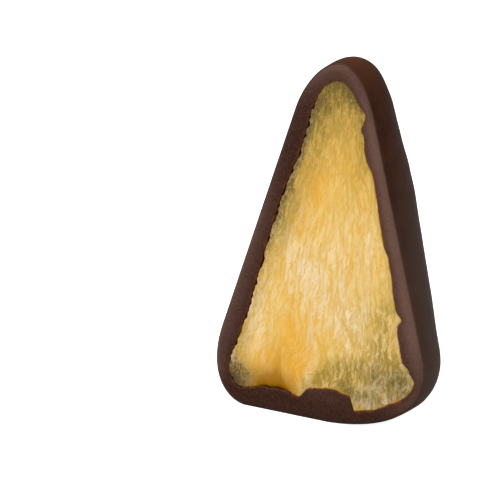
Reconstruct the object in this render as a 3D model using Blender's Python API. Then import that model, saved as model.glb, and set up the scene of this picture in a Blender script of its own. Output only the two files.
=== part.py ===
"""A chocolate covered pineapple wedge, cut through to show the fruit.

Metres, +Z up. The wedge stands on its broad end, with its narrow end up and its cut side facing -Y.
The coating is a cup of chocolate that is open at the cut side, and the fruit fills it."""

import math

import bmesh
import bpy
import numpy as np
from mathutils import Vector, noise

MM = 0.001

# Corners of the wedge as seen from the cut side, where its straight sides would meet: x, z, how far
# the rounding reaches along the side before and the side after, and how full it is at either end
FOOT_RIGHT = (15.8 * MM, 0.0, 16.3 * MM, 10.1 * MM, 0.59, 0.64)
APEX = (3.0 * MM, 53.0 * MM, 17.7 * MM, 17.8 * MM, 0.65, 0.25)
FOOT_LEFT = (-15.7 * MM, 0.0, 9.7 * MM, 6.75 * MM, 0.61, 0.52)

# How far to either side the outline is looked at to tell which way it faces, which keeps what lies
# inside it from folding over at the narrow end
DIRECTION_REACH = 2.5 * MM

# The wedge from front to back
DEPTH = 7.6 * MM
BACK_ROUNDING_DEPTH = 4.7 * MM
BACK_ROUNDING_INSET = 3.0 * MM
FOOT_ROUNDING = 1.8 * MM
FOOT_ROUNDING_TOP_Z = 5.0 * MM
BACK_DOME = 0.4 * MM
SIDE_BULGE = 0.2 * MM
BELLY = 1.9 * MM
BELLY_Z = 26.0 * MM
BELLY_HEIGHT = 11.4 * MM
SURFACE_WAVE = 0.12 * MM
WAVE_LENGTH = 8.0 * MM

# The cut edge of the coating, which rounds away towards its outer side
RIM_DROP = 0.45 * MM
RIM_CORNER = 0.15 * MM
RIM_LIP = 0.12 * MM
BACK_WALL = 2.0 * MM
FRUIT_ROUNDING_DEPTH = 2.6 * MM
FRUIT_ROUNDING_INSET = 1.3 * MM
FIT_GAP = 0.3 * MM

# How thick the coating is round the cut: x and z near the outline, and the thickness there
COATING = [
    (-8.9 * MM, 0.0, 2.4 * MM),
    (-6.5 * MM, 0.0, 2.9 * MM),
    (-4.0 * MM, 0.0, 2.9 * MM),
    (-2.4 * MM, 0.0, 2.45 * MM),
    (-0.5 * MM, 0.0, 3.75 * MM),
    (2.0 * MM, 0.1 * MM, 3.95 * MM),
    (4.9 * MM, 0.5 * MM, 3.4 * MM),
    (5.6 * MM, 0.6 * MM, 1.75 * MM),
    (9.9 * MM, 2.1 * MM, 1.55 * MM),
    (13.3 * MM, 6.7 * MM, 0.85 * MM),
    (13.3 * MM, 9.3 * MM, 2.15 * MM),
    (12.5 * MM, 12.8 * MM, 2.1 * MM),
    (12.2 * MM, 14.2 * MM, 1.4 * MM),
    (12.0 * MM, 15.4 * MM, 1.85 * MM),
    (10.7 * MM, 21.1 * MM, 1.45 * MM),
    (10.3 * MM, 22.7 * MM, 1.75 * MM),
    (8.6 * MM, 30.1 * MM, 1.45 * MM),
    (8.1 * MM, 32.5 * MM, 1.8 * MM),
    (6.8 * MM, 37.0 * MM, 0.95 * MM),
    (6.1 * MM, 38.6 * MM, 1.25 * MM),
    (2.5 * MM, 41.9 * MM, 1.9 * MM),
    (-0.4 * MM, 40.5 * MM, 1.75 * MM),
    (-4.1 * MM, 33.5 * MM, 2.3 * MM),
    (-6.7 * MM, 25.9 * MM, 1.95 * MM),
    (-12.3 * MM, 9.9 * MM, 2.55 * MM),
    (-13.4 * MM, 4.2 * MM, 1.9 * MM),
    (-11.6 * MM, 0.8 * MM, 1.8 * MM),
]
RAGGED_EDGE = 0.1 * MM
RAGGED_LENGTH = 2.2 * MM

# The fibres of the fruit fan out from the pineapple's core, which lay above the wedge
CORE_X = 2.4 * MM
CORE_Z = 50.0 * MM
FIBRE_ANGLE = 0.05
FIBRE_LENGTH = 9.0 * MM
FIBRE_RELIEF = 0.11 * MM
FRUIT_RECESS = 0.16 * MM
FRUIT_SWELL = 0.3 * MM
CREASE_X = -4.6 * MM
CREASE_TOP_Z = 10.5 * MM
CREASE_WIDTH = 0.7 * MM
CREASE_DEPTH = 0.4 * MM
FRUIT_TOP_LEFT = (-2.0 * MM, 38.4 * MM)
FRUIT_TOP_RIGHT = (6.6 * MM, 38.4 * MM)

# Mesh resolution
OUTLINE_SAMPLES = 2400
CORNER_STEPS = 60
FRUIT_COLUMNS = 28
FRUIT_ROWS = 40
CLOSING_SHARES = (0.28, 0.56, 0.82)

CHOCOLATE = (0.068, 0.031, 0.023)
FRUIT_YELLOW = (0.80, 0.56, 0.20)


def clear_scene():
    for obj in list(bpy.data.objects):
        bpy.data.objects.remove(obj, do_unlink=True)


def smooth_step(low, high, value):
    share = np.clip((value - low) / (high - low), 0.0, 1.0)
    return share * share * (3.0 - 2.0 * share)


def corner_curve(corner, before, after):
    """Points of the rounded corner, a cubic curve that is tangent to both sides."""
    tip = np.array(corner[:2])
    to_before = np.array(before[:2]) - tip
    to_after = np.array(after[:2]) - tip
    start = tip + to_before / np.linalg.norm(to_before) * corner[2]
    end = tip + to_after / np.linalg.norm(to_after) * corner[3]
    first = start + (tip - start) * corner[4]
    second = end + (tip - end) * corner[5]
    t = np.linspace(0.0, 1.0, CORNER_STEPS)[:, None]
    return (
        (1 - t) ** 3 * start
        + 3 * t * (1 - t) ** 2 * first
        + 3 * t**2 * (1 - t) * second
        + t**3 * end
    )


class Outline:
    """The closed outline of the wedge, anticlockwise from the middle of its foot, by share of its length."""

    def __init__(self):
        right = corner_curve(FOOT_RIGHT, FOOT_LEFT, APEX)
        top = corner_curve(APEX, FOOT_RIGHT, FOOT_LEFT)
        left = corner_curve(FOOT_LEFT, APEX, FOOT_RIGHT)
        start = (left[-1] + right[0]) / 2
        path = np.vstack([start, right, top, left, start])
        lengths = np.r_[0.0, np.cumsum(np.linalg.norm(np.diff(path, axis=0), axis=1))]
        self.length = lengths[-1]
        self.shares = np.linspace(0.0, 1.0, OUTLINE_SAMPLES, endpoint=False)
        along = self.shares * self.length
        self.points = np.column_stack([np.interp(along, lengths, path[:, k]) for k in (0, 1)])
        reach = round(DIRECTION_REACH / self.length * OUTLINE_SAMPLES)
        tangents = np.roll(self.points, -reach, axis=0) - np.roll(self.points, reach, axis=0)
        tangents /= np.linalg.norm(tangents, axis=1)[:, None]
        self.inward = np.column_stack([-tangents[:, 1], tangents[:, 0]])

    def nearest_share(self, x, z):
        return self.shares[np.argmin(np.hypot(self.points[:, 0] - x, self.points[:, 1] - z))]

    def read(self, values, shares):
        """Values kept along the outline, read at any shares of its length."""
        return np.interp(shares, self.shares, values, period=1.0)

    def inset(self, shares, distance):
        """Points that lie that distance inside the outline."""
        base = [self.read(self.points[:, k], shares) for k in (0, 1)]
        way = [self.read(self.inward[:, k], shares) for k in (0, 1)]
        return np.column_stack([base[k] + way[k] * distance for k in (0, 1)])


def shares_round(outline):
    """Shares of the outline for both pieces, anticlockwise from the left end of the foot: its four sides."""
    left_foot = outline.nearest_share(*FOOT_LEFT[:2]) - 1.0
    right_foot = outline.nearest_share(*FOOT_RIGHT[:2])
    right_top = outline.nearest_share(*FRUIT_TOP_RIGHT)
    left_top = outline.nearest_share(*FRUIT_TOP_LEFT)
    sides = [
        np.linspace(left_foot, right_foot, FRUIT_COLUMNS, endpoint=False),
        np.linspace(right_foot, right_top, FRUIT_ROWS, endpoint=False),
        np.linspace(right_top, left_top, FRUIT_COLUMNS, endpoint=False),
        np.linspace(left_top, left_foot + 1.0, FRUIT_ROWS, endpoint=False),
    ]
    return np.concatenate(sides)


def coating_thickness(outline, shares):
    """The thickness of the coating round the cut, with its ragged inner edge."""
    places = np.array([outline.nearest_share(x, z) for x, z, _ in COATING])
    values = np.array([thickness for _, _, thickness in COATING])
    order = np.argsort(places)
    places, values = places[order], values[order]
    looped_places = np.r_[places[-1] - 1.0, places, places[0] + 1.0]
    looped_values = np.r_[values[-1], values, values[0]]
    shares = np.mod(shares, 1.0)
    index = np.searchsorted(looped_places, shares, side="right") - 1
    low, high = looped_places[index], looped_places[index + 1]
    blend = smooth_step(low, high, shares)
    smooth = looped_values[index] * (1 - blend) + looped_values[index + 1] * blend
    turns = outline.length / RAGGED_LENGTH / math.tau
    ragged = [
        noise.noise(Vector((turns * math.cos(math.tau * s), turns * math.sin(math.tau * s), 0.0)))
        for s in shares
    ]
    return smooth + RAGGED_EDGE * np.array(ragged)


def spine_points(points):
    """For each point, the point on the middle line of the wedge towards which a flat end closes."""
    low_z, high_z = 9.0 * MM, 31.0 * MM
    z = np.clip(points[:, 1], low_z, high_z)
    lean = APEX[0] / APEX[1]
    return np.column_stack([lean * z, z])


def deepened(depth, z):
    """The depth with the belly of the wedge, which swells its back and leaves the cut where it is."""
    edge = RIM_DROP + RIM_CORNER
    belly = BELLY * np.exp(-(((z - BELLY_Z) / BELLY_HEIGHT) ** 2))
    return np.where(depth > edge, edge + (depth - edge) * (1 + belly / (DEPTH - edge)), depth)


def closing_rings(edge, depths):
    """Rings that close a flat end, from its edge in towards the wedge's middle line."""
    rings = []
    for share, depth in zip(CLOSING_SHARES, depths):
        rings.append(ring_of(edge + (spine_points(edge) - edge) * share, depth))
    return rings


def ring_of(points, depth):
    """Vertices at one depth, from points of the outline's plane."""
    depths = deepened(np.broadcast_to(depth, len(points)), points[:, 1])
    return np.column_stack([points[:, 0], depths, points[:, 1]])


def outer_rings(outline, shares):
    """The coating's outer surface, from the middle of its back to its cut edge."""
    foot = smooth_step(FOOT_ROUNDING_TOP_Z, 0.0, outline.read(outline.points[:, 1], shares))
    round_depth = BACK_ROUNDING_DEPTH + (FOOT_ROUNDING - BACK_ROUNDING_DEPTH) * foot
    round_inset = BACK_ROUNDING_INSET + (FOOT_ROUNDING - BACK_ROUNDING_INSET) * foot
    side_end = DEPTH - BACK_DOME - round_depth
    rings = []
    depths = [DEPTH - BACK_DOME * (1 - share) ** 2 for share in CLOSING_SHARES]
    rings += closing_rings(outline.inset(shares, round_inset), depths)[::-1]
    for angle in np.radians((90.0, 66.0, 44.0, 22.0, 0.0)):
        inset = round_inset * (1 - math.cos(angle))
        depth = side_end + round_depth * math.sin(angle)
        rings.append(ring_of(outline.inset(shares, inset), depth))
    for depth in (side_end * 0.66, side_end * 0.33):
        rings.append(ring_of(outline.inset(shares, 0.0), depth))
    rings.append(ring_of(outline.inset(shares, 0.0), RIM_DROP + RIM_CORNER))
    return [swollen(outline, shares, ring) for ring in rings]


def swollen(outline, shares, ring):
    """A ring of the outer surface with the coating's soft bulge and waves, flat where it stands."""
    depth = ring[:, 1]
    bulge = SIDE_BULGE * np.sin(math.pi * np.clip(depth / DEPTH, 0.0, 1.0))
    wave = np.array([noise.noise(Vector(v) / WAVE_LENGTH) for v in ring])
    grow = smooth_step(RIM_DROP, DEPTH / 2, depth) * wave * SURFACE_WAVE
    facing = smooth_step(DEPTH - BACK_ROUNDING_DEPTH, DEPTH, depth)
    inward = np.column_stack([outline.read(outline.inward[:, k], shares) for k in (0, 1)])
    out = ring.copy()
    out[:, 0] -= inward[:, 0] * (bulge * (1 - facing) + grow)
    out[:, 2] -= inward[:, 1] * (bulge * (1 - facing) + grow)
    out[:, 1] += grow * facing
    out[:, 2] = np.maximum(out[:, 2], 0.0)
    return out


def rim_rings(outline, shares, thickness):
    """The cut edge of the coating, from its outer corner to its lip."""
    rings = []
    for share in (0.93, 0.72, 0.42, 0.0):
        inset = thickness + (RIM_CORNER - thickness) * share
        rings.append(ring_of(outline.inset(shares, inset), RIM_DROP * share**3))
    return rings


def cavity_rings(outline, shares, thickness):
    """The inside of the coating, from its lip to the middle of its back wall."""
    floor = DEPTH - BACK_WALL
    rings = [ring_of(outline.inset(shares, thickness + RIM_LIP / 3), RIM_LIP)]
    rings.append(ring_of(outline.inset(shares, thickness), (floor - FRUIT_ROUNDING_DEPTH) / 2))
    for angle in np.radians((0.0, 35.0, 60.0, 90.0)):
        inset = thickness + FRUIT_ROUNDING_INSET * (1 - math.cos(angle))
        depth = floor - FRUIT_ROUNDING_DEPTH * (1 - math.sin(angle))
        rings.append(ring_of(outline.inset(shares, inset), depth))
    edge = outline.inset(shares, thickness + FRUIT_ROUNDING_INSET)
    return rings + closing_rings(edge, [floor] * len(CLOSING_SHARES))


def add_ring(mesh, ring):
    return [mesh.verts.new(v) for v in ring]


def join_rings(mesh, first, second):
    """Quads between two closed rings of equal length."""
    count = len(first)
    for i in range(count):
        j = (i + 1) % count
        mesh.faces.new((first[i], first[j], second[j], second[i]))


def make_coating(outline):
    shares = shares_round(outline)
    thickness = coating_thickness(outline, shares) - FIT_GAP / 2
    rings = outer_rings(outline, shares)
    rings += rim_rings(outline, shares, thickness)
    rings += cavity_rings(outline, shares, thickness)
    mesh = bmesh.new()
    made = [add_ring(mesh, ring) for ring in rings]
    for first, second in zip(made, made[1:]):
        join_rings(mesh, first, second)
    bmesh.ops.triangulate(mesh, faces=[mesh.faces.new(made[0]), mesh.faces.new(made[-1])])
    return finish_piece(mesh, "chocolate_coating", CHOCOLATE, roughness=0.42)


def fruit_grid(edge):
    """Points across the cut fruit, blended between its four sides: rows that follow one another up."""
    right_foot, right_top = FRUIT_COLUMNS, FRUIT_COLUMNS + FRUIT_ROWS
    left_top = right_top + FRUIT_COLUMNS
    foot = edge[: right_foot + 1]
    right = edge[right_foot : right_top + 1]
    top = edge[right_top : left_top + 1][::-1]
    left = np.vstack([edge[left_top:], edge[:1]])[::-1]
    u = np.linspace(0.0, 1.0, FRUIT_COLUMNS + 1)[None, :, None]
    v = np.linspace(0.0, 1.0, FRUIT_ROWS + 1)[:, None, None]
    corners = (
        (1 - u) * (1 - v) * foot[0] + u * (1 - v) * foot[-1] + (1 - u) * v * top[0] + u * v * top[-1]
    )
    across = (1 - v) * foot[None] + v * top[None]
    along = (1 - u) * left[:, None] + u * right[:, None]
    return across + along - corners


def fruit_relief(x, z, edge):
    """How far the cut fruit's surface lies behind the plane of the cut: fibres, a swell and a crease."""
    angle = math.atan2(x - CORE_X, CORE_Z - z)
    reach = math.hypot(x - CORE_X, CORE_Z - z)
    fibre = noise.noise(Vector((angle / FIBRE_ANGLE, reach / FIBRE_LENGTH, 0.0)))
    fibre += 0.5 * noise.noise(Vector((2.3 * angle / FIBRE_ANGLE, 2 * reach / FIBRE_LENGTH, 7.0)))
    fade = smooth_step(CREASE_TOP_Z, CREASE_TOP_Z / 2, z)
    crease = CREASE_DEPTH * fade * math.exp(-(((x - CREASE_X) / CREASE_WIDTH) ** 2))
    return FRUIT_RECESS - FRUIT_SWELL * edge + FIBRE_RELIEF * fibre + crease


def make_fruit(outline):
    shares = shares_round(outline)
    inset = coating_thickness(outline, shares) + FIT_GAP / 2
    grid = fruit_grid(outline.inset(shares, inset))
    back = DEPTH - BACK_WALL - FIT_GAP
    mesh = bmesh.new()
    front = []
    for r in range(FRUIT_ROWS + 1):
        for c in range(FRUIT_COLUMNS + 1):
            middle = math.sin(math.pi * c / FRUIT_COLUMNS) * math.sin(math.pi * r / FRUIT_ROWS)
            x, z = grid[r, c]
            front.append(mesh.verts.new((x, fruit_relief(x, z, math.sqrt(max(middle, 0.0))), z)))
    width = FRUIT_COLUMNS + 1
    for r in range(FRUIT_ROWS):
        for c in range(FRUIT_COLUMNS):
            a = r * width + c
            mesh.faces.new((front[a], front[a + 1], front[a + width + 1], front[a + width]))
    border = list(range(FRUIT_COLUMNS))
    border += [r * width + FRUIT_COLUMNS for r in range(FRUIT_ROWS)]
    border += [FRUIT_ROWS * width + c for c in range(FRUIT_COLUMNS, 0, -1)]
    border += [r * width for r in range(FRUIT_ROWS, 0, -1)]
    rings = []
    for angle in np.radians((0.0, 35.0, 60.0, 90.0)):
        points = outline.inset(shares, inset + FRUIT_ROUNDING_INSET * (1 - math.cos(angle)))
        depth = back - FRUIT_ROUNDING_DEPTH * (1 - math.sin(angle))
        rings.append(ring_of(points, depth))
    rings += closing_rings(points, [back] * len(CLOSING_SHARES))
    made = [[front[i] for i in border]] + [add_ring(mesh, ring) for ring in rings]
    for first, second in zip(made, made[1:]):
        join_rings(mesh, first, second)
    bmesh.ops.triangulate(mesh, faces=[mesh.faces.new(made[-1])])
    return finish_piece(mesh, "pineapple_flesh", FRUIT_YELLOW, roughness=0.35)


def finish_piece(mesh, name, colour, roughness):
    """An object from the mesh, with smooth shading and its own material."""
    bmesh.ops.recalc_face_normals(mesh, faces=mesh.faces)
    data = bpy.data.meshes.new(name)
    mesh.to_mesh(data)
    mesh.free()
    data.shade_smooth()
    data.set_sharp_from_angle(angle=math.radians(40))
    material = bpy.data.materials.new(name)
    material.use_nodes = True
    shader = material.node_tree.nodes["Principled BSDF"]
    shader.inputs["Base Color"].default_value = (*colour, 1.0)
    shader.inputs["Roughness"].default_value = roughness
    shader.inputs["Metallic"].default_value = 0.0
    data.materials.append(material)
    obj = bpy.data.objects.new(name, data)
    bpy.context.scene.collection.objects.link(obj)
    return obj


def stand_on_origin(objects):
    """Puts the middle of the whole object's underside at the origin."""
    corners = np.array([v.co for obj in objects for v in obj.data.vertices])
    low, high = corners.min(axis=0), corners.max(axis=0)
    for obj in objects:
        obj.location = (-(low[0] + high[0]) / 2, -(low[1] + high[1]) / 2, -low[2])


def main():
    clear_scene()
    outline = Outline()
    stand_on_origin([make_coating(outline), make_fruit(outline)])


main()
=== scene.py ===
"""The looks of a chocolate covered pineapple wedge, cut through to show the fruit.

The coating and the fruit are each one finely modelled piece, and a stage has the floor, the soft
lights and the camera. Sizes in the code are metres, +Z is up, and the cut side faces -Y."""

import math

import bpy
import numpy as np
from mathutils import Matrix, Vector, kdtree, noise


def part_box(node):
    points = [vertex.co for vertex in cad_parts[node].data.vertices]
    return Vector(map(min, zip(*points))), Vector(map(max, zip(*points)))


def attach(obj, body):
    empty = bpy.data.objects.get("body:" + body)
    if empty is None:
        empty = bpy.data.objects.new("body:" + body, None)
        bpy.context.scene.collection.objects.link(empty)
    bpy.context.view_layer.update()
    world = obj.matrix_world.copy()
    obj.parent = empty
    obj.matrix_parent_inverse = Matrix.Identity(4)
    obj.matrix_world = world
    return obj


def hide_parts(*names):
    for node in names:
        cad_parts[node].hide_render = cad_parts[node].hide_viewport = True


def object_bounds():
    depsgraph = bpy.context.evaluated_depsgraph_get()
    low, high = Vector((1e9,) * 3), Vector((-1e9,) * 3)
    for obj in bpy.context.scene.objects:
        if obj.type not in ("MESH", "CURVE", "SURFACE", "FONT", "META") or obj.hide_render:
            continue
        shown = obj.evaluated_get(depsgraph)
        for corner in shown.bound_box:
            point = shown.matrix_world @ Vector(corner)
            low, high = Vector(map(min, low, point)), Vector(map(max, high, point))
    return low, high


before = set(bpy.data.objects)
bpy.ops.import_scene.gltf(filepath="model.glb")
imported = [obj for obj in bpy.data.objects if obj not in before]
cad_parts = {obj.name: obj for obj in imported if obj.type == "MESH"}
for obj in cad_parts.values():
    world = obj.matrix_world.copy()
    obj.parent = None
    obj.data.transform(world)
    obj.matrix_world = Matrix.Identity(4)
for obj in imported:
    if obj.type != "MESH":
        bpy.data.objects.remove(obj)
CAD_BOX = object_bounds()

bl_info = {
    "name": "Chocolate Covered Pineapple",
    "version": (1, 0, 0),
    "blender": (4, 5, 0),
    "location": "3D View > Sidebar > Pineapple",
    "description": "Models a cut wedge of pineapple in a dark chocolate coating",
    "category": "Add Mesh",
}

MM = 0.001

# Corners of the wedge as seen from the cut side, where its straight sides would meet: x, z, how far
# the rounding reaches along the side before and the side after, and how full it is at either end
FOOT_RIGHT = (15.8 * MM, 0.0, 16.3 * MM, 10.1 * MM, 0.59, 0.64)
APEX = (3.0 * MM, 53.0 * MM, 17.7 * MM, 17.8 * MM, 0.65, 0.25)
FOOT_LEFT = (-15.7 * MM, 0.0, 9.7 * MM, 6.75 * MM, 0.61, 0.52)

# How far to either side the outline is looked at to tell which way it faces, which keeps what lies
# inside it from folding over at the narrow end
DIRECTION_REACH = 2.5 * MM

DEPTH = 7.6 * MM
BACK_ROUNDING_DEPTH = 4.7 * MM
BACK_ROUNDING_INSET = 3.0 * MM
FOOT_ROUNDING = 1.8 * MM
FOOT_ROUNDING_TOP_Z = 5.0 * MM
BACK_DOME = 0.4 * MM
SIDE_BULGE = 0.2 * MM
BELLY = 1.9 * MM
BELLY_Z = 26.0 * MM
BELLY_HEIGHT = 11.4 * MM
SURFACE_WAVE = 0.12 * MM
WAVE_LENGTH = 8.0 * MM
SMALL_WAVE = 0.03 * MM
SMALL_WAVE_LENGTH = 2.6 * MM

# Soft ridges on the back where the dipped chocolate ran before it set: their height, and how long
# one is along x, y and z in millimetres
FLOW_HEIGHT = 0.08 * MM
FLOW_LENGTHS = (9.0, 6.0, 2.4)

RIM_DROP = 0.45 * MM
RIM_CORNER = 0.15 * MM
BACK_WALL = 2.0 * MM
INNER_ROUNDING_DEPTH = 2.6 * MM
INNER_ROUNDING_INSET = 1.3 * MM

# How thick the coating is round the cut: x and z near the outline, and the thickness there
COATING = [
    (-8.9 * MM, 0.0, 2.4 * MM),
    (-6.5 * MM, 0.0, 2.9 * MM),
    (-4.0 * MM, 0.0, 2.9 * MM),
    (-2.4 * MM, 0.0, 2.45 * MM),
    (-0.5 * MM, 0.0, 3.87 * MM),
    (2.0 * MM, 0.1 * MM, 4.1 * MM),
    (5.1 * MM, 0.5 * MM, 3.5 * MM),
    (5.4 * MM, 0.6 * MM, 1.7 * MM),
    (9.9 * MM, 2.1 * MM, 1.55 * MM),
    (13.3 * MM, 6.7 * MM, 0.85 * MM),
    (13.4 * MM, 8.0 * MM, 1.6 * MM),
    (13.3 * MM, 9.3 * MM, 2.4 * MM),
    (12.5 * MM, 12.8 * MM, 2.3 * MM),
    (12.4 * MM, 13.4 * MM, 2.1 * MM),
    (12.2 * MM, 14.2 * MM, 1.4 * MM),
    (12.0 * MM, 15.4 * MM, 1.85 * MM),
    (10.7 * MM, 21.1 * MM, 1.45 * MM),
    (10.3 * MM, 22.7 * MM, 1.75 * MM),
    (8.6 * MM, 30.1 * MM, 1.32 * MM),
    (8.1 * MM, 32.5 * MM, 1.8 * MM),
    (6.8 * MM, 37.0 * MM, 0.95 * MM),
    (6.1 * MM, 38.6 * MM, 1.25 * MM),
    (2.5 * MM, 41.9 * MM, 1.9 * MM),
    (-0.4 * MM, 40.5 * MM, 1.75 * MM),
    (-4.1 * MM, 33.5 * MM, 2.3 * MM),
    (-6.7 * MM, 25.9 * MM, 1.95 * MM),
    (-12.3 * MM, 9.9 * MM, 2.55 * MM),
    (-13.4 * MM, 4.2 * MM, 1.9 * MM),
    (-11.6 * MM, 0.8 * MM, 1.8 * MM),
]
RAGGED_EDGE = 0.1 * MM
RAGGED_LENGTH = 2.2 * MM

# Waves of the coating's torn inner edge: how strong, how long, and two numbers that set their form
TORN_WAVES = (
    (1.0, 0.95 * MM, 0.0, 5),
    (0.7, 0.41 * MM, 0.4, 6),
    (0.4, 0.2 * MM, 0.7, 7),
)

# The fibres fan out from the core of the pineapple, which lay above the wedge
CORE_X = 3.0 * MM
CORE_Z = 72.0 * MM
FAN_RADIUS = 52.0 * MM
FRUIT_TOP_LEFT = (-2.0 * MM, 38.4 * MM)
FRUIT_TOP_RIGHT = (6.6 * MM, 38.4 * MM)

# How far the fruit's wall reaches into the coating, and how far its back keeps off the floor
FRUIT_OVERLAP = 0.03 * MM
FRUIT_CLEARANCE = 0.02 * MM

# How glassy, dull and darkened by painted shade the fruit is towards its narrow end: height in
# millimetres, and share
TOP_FADE_Z = (28.0, 31.0, 33.4, 36.7, 38.9, 40.5)
TOP_FADE_SHARE = (0.0, 0.08, 0.18, 0.42, 0.8, 0.95)

# Soft oval patches of the cut fruit, by what they show. Each has its strength, its middle in x and
# z and how far it reaches along both, in millimetres, and its turn in radians where it has one.
# Many of the olive, murky and deep gold patches are painted shade: beside the coating, in the
# crease, at the foot and at the narrow end.
PATCHES = {
    "pale": (
        (1.15, (-1.5, 17.0), (2.4, 4.6), 0.15),
        (1.0, (-8.4, 12.0), (1.6, 7.0), 0.27),
        (0.4, (6.2, 12.3), (2.2, 3.6), -0.1),
        (0.5, (2.5, 14.5), (2.6, 5.0)),
        (0.45, (4.5, 20.5), (4.6, 6.5)),
        (0.3, (6.8, 23.0), (1.2, 5.0), -0.1),
        (0.7, (-2.1, 4.6), (0.4, 2.2)),
        (0.8, (9.8, 4.8), (3.0, 1.6), -0.4),
        (0.7, (9.0, 6.5), (3.4, 4.0)),
        (0.8, (2.0, 4.7), (1.5, 0.45), -0.2),
        (0.9, (6.2, 3.3), (1.4, 0.7), -0.1),
        (0.8, (-10.8, 5.2), (0.6, 0.8)),
        (0.5, (-6.3, 16.0), (1.3, 4.6), 0.15),
        (0.8, (-0.4, 9.8), (0.9, 2.8)),
        (0.7, (4.2, 11.2), (0.9, 2.4)),
        (0.8, (-0.9, 5.4), (0.6, 1.5)),
        (-0.7, (5.0, 5.9), (1.1, 1.2)),
    ),
    "orange": (
        (1.1, (-2.7, 8.2), (2.1, 5.4), 0.05),
        (0.85, (-6.0, 5.4), (2.5, 3.6), 0.2),
        (0.65, (0.2, 27.2), (1.3, 3.0), 0.1),
        (0.5, (-2.4, 23.2), (0.9, 1.6), 0.1),
        (0.3, (5.6, 25.0), (0.6, 6.5), -0.12),
        (0.3, (0.3, 9.0), (1.2, 4.0)),
    ),
    # Painted shade in deep gold at the foot and beside the crease
    "shade_and_glow": (
        (1.3, (-6.2, 2.8), (2.4, 1.8)),
        (0.12, (-6.9, 4.8), (1.3, 2.0)),
        (0.5, (-3.8, 3.0), (1.0, 1.2)),
    ),
    # Glassy olive flesh, and painted shade beside the coating and in the lower left corner
    "olive": (
        (0.8, (-4.1, 26.0), (0.35, 0.45)),
        (0.6, (-3.4, 27.8), (0.3, 0.6)),
        (0.6, (-2.3, 30.8), (0.4, 0.9)),
        (0.9, (-5.3, 24.7), (0.5, 1.2), 0.3),
        (2.2, (-10.6, 3.0), (2.2, 1.9)),
        (0.9, (-9.0, 1.9), (1.6, 1.0)),
        (0.16, (4.8, 5.8), (3.6, 2.6)),
        (0.6, (10.9, 5.2), (2.6, 2.6)),
        (0.4, (8.0, 3.4), (3.6, 1.2)),
        (0.35, (-5.3, 24.6), (1.2, 3.6), 0.3),
        (0.4, (10.5, 7.1), (0.75, 0.9), 0.2),
        (0.35, (7.8, 6.6), (0.4, 1.1)),
        (0.35, (8.6, 6.9), (2.0, 1.8)),
        (0.3, (11.4, 6.4), (1.0, 2.2)),
        (0.4, (4.6, 4.0), (1.2, 0.9)),
        (0.3, (6.5, 3.9), (1.8, 0.6)),
        (0.25, (4.0, 4.8), (1.0, 0.8)),
    ),
    # Olive laid over the deep gold, mostly painted shade beside the coating and at the narrow end
    "olive glaze": (
        (0.45, (-3.6, 27.9), (0.7, 3.2), 0.33),
        (0.3, (-0.5, 36.0), (0.8, 1.6), 0.3),
        (0.08, (3.7, 5.9), (1.4, 1.8)),
        (0.12, (8.6, 13.0), (1.1, 5.0), -0.12),
        (0.3, (-0.2, 37.3), (0.8, 0.8)),
        (0.4, (4.7, 39.1), (1.0, 1.2)),
        (0.3, (5.6, 36.9), (0.5, 1.0)),
        (-0.12, (2.3, 39.0), (1.2, 1.6)),
    ),
    # Dull ground, and painted shade above the coating at the foot and along the right edge
    "murky": (
        (0.9, (4.6, 6.2), (2.9, 1.9)),
        (0.95, (8.8, 6.6), (3.2, 3.0)),
        (0.34, (6.4, 12.0), (3.2, 5.0)),
        (0.8, (11.4, 5.5), (2.0, 3.4)),
        (1.0, (1.4, 5.0), (1.8, 1.9)),
        (0.35, (3.5, 6.4), (1.3, 1.5)),
        (1.0, (7.4, 3.6), (4.4, 1.5)),
        (0.4, (5.0, 5.9), (1.1, 1.2)),
        (0.7, (9.0, 12.0), (1.4, 4.6), -0.12),
        (0.7, (4.0, 5.2), (1.1, 1.2)),
        (0.4, (5.6, 29.5), (1.6, 4.5), -0.2),
        (0.5, (-4.8, 25.2), (1.1, 2.6), 0.3),
    ),
    "never murky": (
        (0.7, (6.4, 5.2), (0.9, 0.45)),
        (0.6, (6.2, 3.3), (1.4, 0.45)),
    ),
    "glassy": (
        (0.8, (-11.0, 3.8), (1.5, 2.2)),
        (0.6, (7.5, 5.5), (5.0, 2.6)),
    ),
    "frost": (
        (0.5, (-9.8, 9.6), (0.6, 3.4), 0.3),
        (0.75, (-10.8, 6.1), (0.7, 1.3), 0.3),
        (0.35, (-9.0, 2.6), (0.6, 1.0)),
        (0.6, (6.0, 3.3), (1.7, 0.9)),
        (0.6, (12.3, 6.4), (1.0, 1.9), 0.4),
    ),
    "little frost": (
        (0.8, (10.3, 7.2), (0.9, 1.0)),
        (0.7, (5.0, 5.9), (1.1, 1.2)),
    ),
    "frost glaze": (
        (0.9, (6.4, 5.25), (1.0, 0.4), 0.1),
        (0.45, (8.6, 5.6), (3.8, 3.0)),
    ),
    "height": (
        (-0.6, (-6.2, 2.2), (3.4, 1.6)),
        (0.22, (6.4, 5.25), (0.95, 0.42), 0.1),
        (-0.25, (4.6, 6.4), (2.2, 1.0)),
        (-0.3, (11.4, 7.0), (1.0, 2.6)),
        (0.15, (-3.6, 8.8), (0.25, 1.6), 0.5),
        (-0.4, (10.9, 14.4), (0.6, 0.9)),
    ),
}

# The crease low in the left half of the fruit: where it lies at this height, and its lean
CREASE_X = -4.6 * MM
CREASE_Z = 5.0 * MM
CREASE_LEAN = 0.04

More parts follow.
